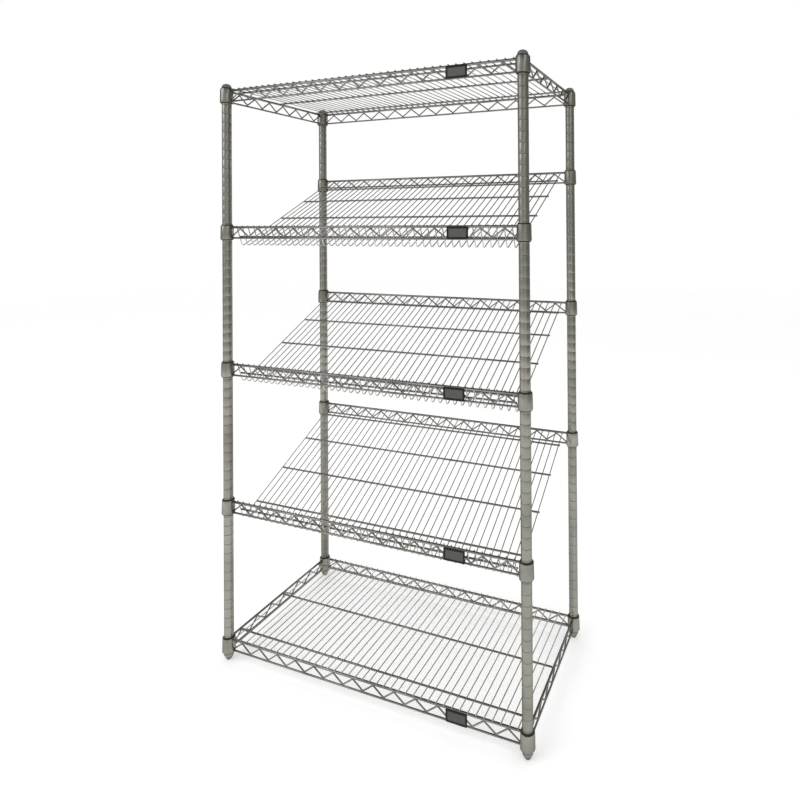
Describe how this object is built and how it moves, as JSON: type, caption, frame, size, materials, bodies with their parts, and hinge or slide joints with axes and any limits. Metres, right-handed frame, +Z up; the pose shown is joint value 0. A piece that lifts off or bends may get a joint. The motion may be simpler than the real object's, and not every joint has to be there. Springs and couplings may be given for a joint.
{
  "type": "bakery bread rack",
  "caption": "Wire shelving rack on round posts: flat top and bottom shelves, with slanted shelves between them whose wires turn up at the front to hold bread.",
  "frame": {"origin": "on the floor, in the middle of the rack's footprint", "axes": "+X towards the rack's right as seen from the front, +Y from the front to the rear, +Z up the posts"},
  "size_m": [0.9114, 0.4542, 1.6],
  "materials": {
    "post_steel": "satin chrome plate",
    "wire_chrome": "bright plated wire",
    "dark_plastic": "moulded",
    "label_plastic": "plain",
    "insert_metal": "zinc plate",
    "foot_steel": "dull zinc plate"
  },
  "bodies": {
    "posts": {"post_front_left": "post_steel", "post_front_right": "post_steel", "post_rear_left": "post_steel", "post_rear_right": "post_steel", "post_cap_front_left": "dark_plastic", "post_cap_front_right": "dark_plastic", "post_cap_rear_left": "dark_plastic", "post_cap_rear_right": "dark_plastic", "foot_insert_front_left": "insert_metal", "foot_insert_front_right": "insert_metal", "foot_insert_rear_left": "insert_metal", "foot_insert_rear_right": "insert_metal", "bottom_shelf_split_sleeves": "dark_plastic", "lower_shelf_split_sleeves": "dark_plastic", "middle_shelf_split_sleeves": "dark_plastic", "upper_shelf_split_sleeves": "dark_plastic", "top_shelf_split_sleeves": "dark_plastic"},
    "bottom_shelf": {"bottom_shelf_mat": "wire_chrome", "bottom_shelf_front_truss": "wire_chrome", "bottom_shelf_rear_truss": "wire_chrome", "bottom_shelf_left_truss": "wire_chrome", "bottom_shelf_right_truss": "wire_chrome", "bottom_shelf_collars": "wire_chrome", "bottom_shelf_label_plate": "label_plastic"},
    "lower_shelf": {"lower_shelf_mat": "wire_chrome", "lower_shelf_front_truss": "wire_chrome", "lower_shelf_rear_truss": "wire_chrome", "lower_shelf_collars": "wire_chrome", "lower_shelf_label_plate": "label_plastic"},
    "middle_shelf": {"middle_shelf_mat": "wire_chrome", "middle_shelf_front_truss": "wire_chrome", "middle_shelf_rear_truss": "wire_chrome", "middle_shelf_collars": "wire_chrome", "middle_shelf_label_plate": "label_plastic"},
    "upper_shelf": {"upper_shelf_mat": "wire_chrome", "upper_shelf_front_truss": "wire_chrome", "upper_shelf_rear_truss": "wire_chrome", "upper_shelf_collars": "wire_chrome", "upper_shelf_label_plate": "label_plastic"},
    "top_shelf": {"top_shelf_mat": "wire_chrome", "top_shelf_front_truss": "wire_chrome", "top_shelf_rear_truss": "wire_chrome", "top_shelf_left_truss": "wire_chrome", "top_shelf_right_truss": "wire_chrome", "top_shelf_collars": "wire_chrome", "top_shelf_label_plate": "label_plastic"},
    "foot_front_left": {"levelling_foot_front_left": "foot_steel"},
    "foot_front_right": {"levelling_foot_front_right": "foot_steel"},
    "foot_rear_left": {"levelling_foot_rear_left": "foot_steel"},
    "foot_rear_right": {"levelling_foot_rear_right": "foot_steel"}
  },
  "joints": [
    {"name": "bottom_shelf_lift", "type": "slide", "parent": "posts", "child": "bottom_shelf", "axis": [0, 0, 1], "range_m": [0, 0.05]},
    {"name": "lower_shelf_lift", "type": "slide", "parent": "posts", "child": "lower_shelf", "axis": [0, 0, 1], "range_m": [0, 0.05]},
    {"name": "middle_shelf_lift", "type": "slide", "parent": "posts", "child": "middle_shelf", "axis": [0, 0, 1], "range_m": [0, 0.05]},
    {"name": "upper_shelf_lift", "type": "slide", "parent": "posts", "child": "upper_shelf", "axis": [0, 0, 1], "range_m": [0, 0.05]},
    {"name": "top_shelf_lift", "type": "slide", "parent": "posts", "child": "top_shelf", "axis": [0, 0, 1], "range_m": [0, 0.05]},
    {"name": "foot_front_left_screw_out", "type": "slide", "parent": "posts", "child": "foot_front_left", "axis": [0, 0, -1], "range_m": [0, 0.02]},
    {"name": "foot_front_right_screw_out", "type": "slide", "parent": "posts", "child": "foot_front_right", "axis": [0, 0, -1], "range_m": [0, 0.02]},
    {"name": "foot_rear_left_screw_out", "type": "slide", "parent": "posts", "child": "foot_rear_left", "axis": [0, 0, -1], "range_m": [0, 0.02]},
    {"name": "foot_rear_right_screw_out", "type": "slide", "parent": "posts", "child": "foot_rear_right", "axis": [0, 0, -1], "range_m": [0, 0.02]}
  ]
}
